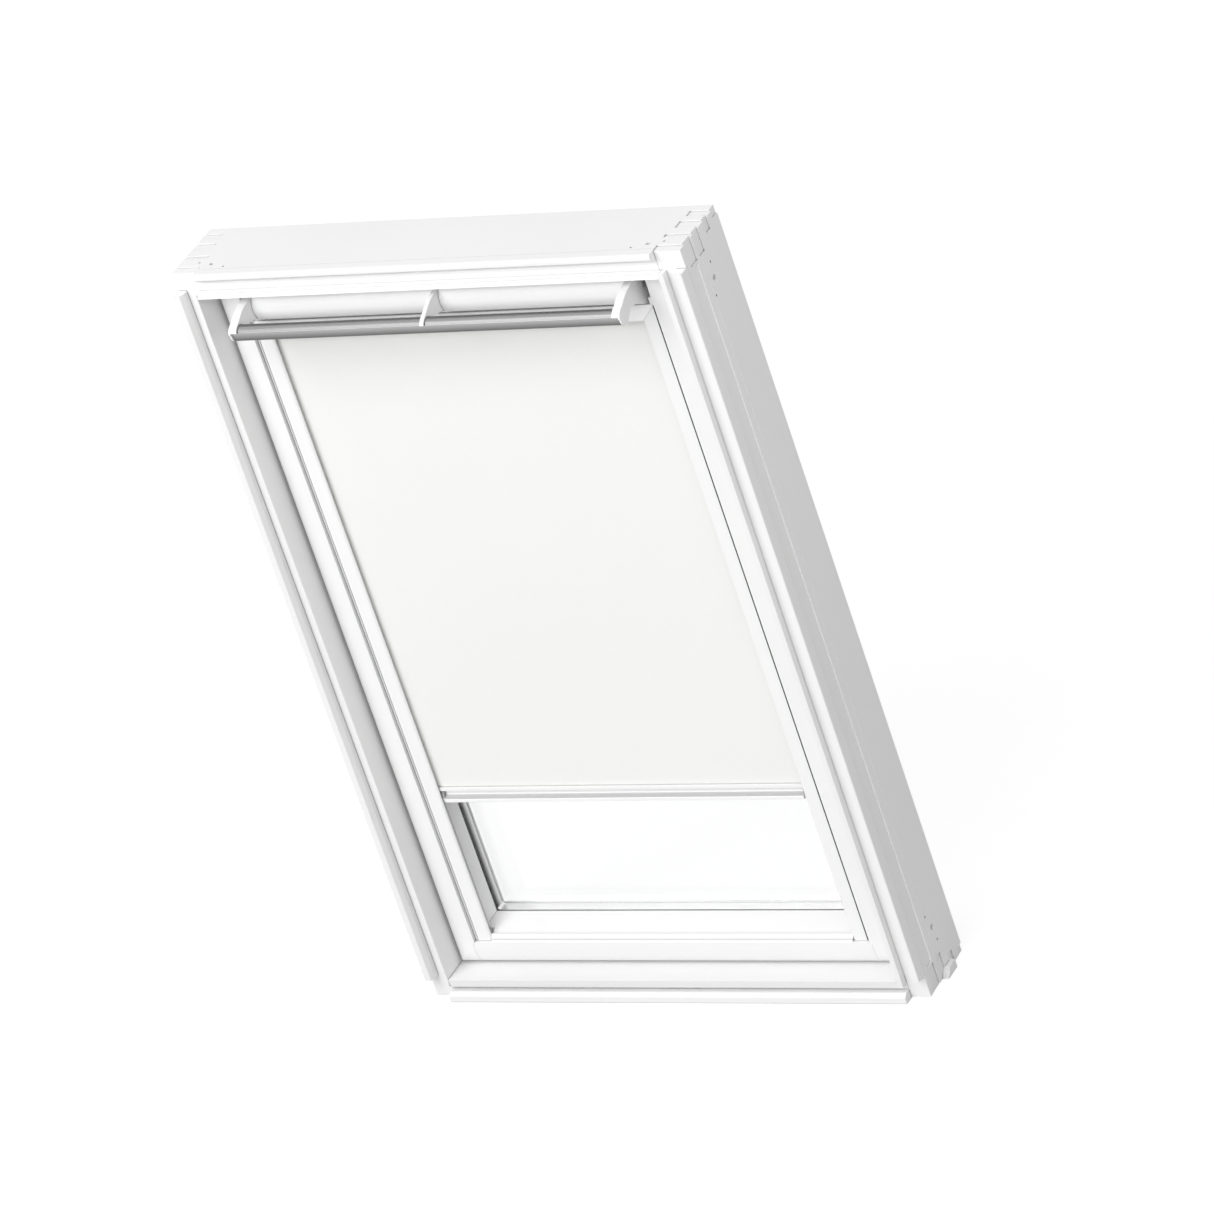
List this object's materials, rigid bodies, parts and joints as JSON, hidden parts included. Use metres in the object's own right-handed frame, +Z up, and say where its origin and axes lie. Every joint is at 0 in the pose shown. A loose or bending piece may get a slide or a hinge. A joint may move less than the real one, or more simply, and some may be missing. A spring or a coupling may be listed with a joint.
{
  "type": "skylight window blind",
  "caption": "White centre-pivot roof window with double glazing, a ventilation flap worked by a control bar, and a roller blind in side channels.",
  "frame": {"origin": "centre of the frame's flat bottom face", "axes": "+X across the window to the right as seen from the room, +Y from the room to the outside, +Z up along the window"},
  "size_m": [0.796, 0.1614, 1.178],
  "materials": {
    "white_paint": "white painted, satin",
    "white_plastic": "white, semi-gloss",
    "white_metal": "white painted",
    "aluminium": "satin anodised",
    "steel": "plain zinc",
    "cover_grey": "matt grey",
    "black_rubber": "matt black",
    "grey_plastic": "grey, semi-gloss",
    "glass": "clear",
    "blind_fabric": "plain woven, off-white",
    "filter_foam": "open foam"
  },
  "bodies": {
    "frame": {"frame_left_jamb": "white_paint", "frame_right_jamb": "white_paint", "frame_head": "white_paint", "frame_sill": "white_paint", "lip_left": "white_paint", "lip_right": "white_paint", "lip_head": "white_paint", "lip_sill": "white_paint", "pivot_pin_left": "steel", "pivot_pin_right": "steel", "strike_plate": "steel", "frame_cover_left": "cover_grey", "frame_cover_right": "cover_grey", "frame_cover_top": "cover_grey", "frame_cover_bottom": "cover_grey"},
    "sash": {"sash_left_stile": "white_paint", "sash_right_stile": "white_paint", "sash_bottom_rail": "white_paint", "sash_top_rail": "white_paint", "pivot_socket_left": "steel", "pivot_socket_right": "steel", "lock_case": "steel", "glazing_spacer": "steel", "sash_cover_left": "cover_grey", "sash_cover_right": "cover_grey", "sash_cover_top": "cover_grey", "sash_cover_bottom": "cover_grey", "inner_gasket": "black_rubber", "outer_gasket": "black_rubber", "sash_seal_upper": "black_rubber", "sash_seal_lower": "black_rubber", "flap_pivot_left": "black_rubber", "flap_pivot_right": "black_rubber", "inner_pane": "glass", "outer_pane": "glass", "side_channel_left": "white_plastic", "side_channel_right": "white_plastic", "blind_casing": "white_plastic", "casing_end_left": "white_plastic", "casing_end_right": "white_plastic", "blind_fixing_left": "white_plastic", "blind_fixing_right": "white_plastic", "bottom_bead": "white_plastic", "blind_fabric": "blind_fabric", "vent_filter": "filter_foam"},
    "flap": {"vent_flap_left": "white_plastic", "vent_flap_right": "white_plastic", "bracket_left": "white_plastic", "bracket_middle": "white_plastic", "bracket_right": "white_plastic", "control_bar": "aluminium"},
    "latch": {"latch_bolt": "steel"},
    "roller": {"roller_tube": "aluminium", "fabric_roll": "blind_fabric"},
    "bar": {"blind_bar": "white_metal", "bar_end_left": "grey_plastic", "bar_end_right": "grey_plastic"}
  },
  "joints": [
    {"name": "sash_pivot", "type": "hinge", "parent": "frame", "child": "sash", "pos_m": [0, 0.0105, 0.589], "axis": [1, 0, 0], "range_deg": [0, 170]},
    {"name": "flap_turn", "type": "hinge", "parent": "sash", "child": "flap", "pos_m": [0, -0.0165, 1.111], "axis": [1, 0, 0], "range_deg": [0, 35]},
    {"name": "latch_slide", "type": "slide", "parent": "sash", "child": "latch", "axis": [0, 0, -1], "range_m": [0, 0.0036]},
    {"name": "blind_slide", "type": "slide", "parent": "sash", "child": "bar", "axis": [0, 0, 1], "range_m": [-0.214, 0.728], "deforming": ["blind_fabric"]},
    {"name": "roller_spin", "type": "hinge", "parent": "sash", "child": "roller", "pos_m": [0, -0.0061, 1.072], "axis": [1, 0, 0], "range_deg": [-4500, 1330]}
  ],
  "couplings": [
    {"joint": "latch_slide", "follows": "flap_turn", "m_per_rad": 0.0058},
    {"joint": "roller_spin", "follows": "blind_slide", "rad_per_m": -107.5}
  ]
}
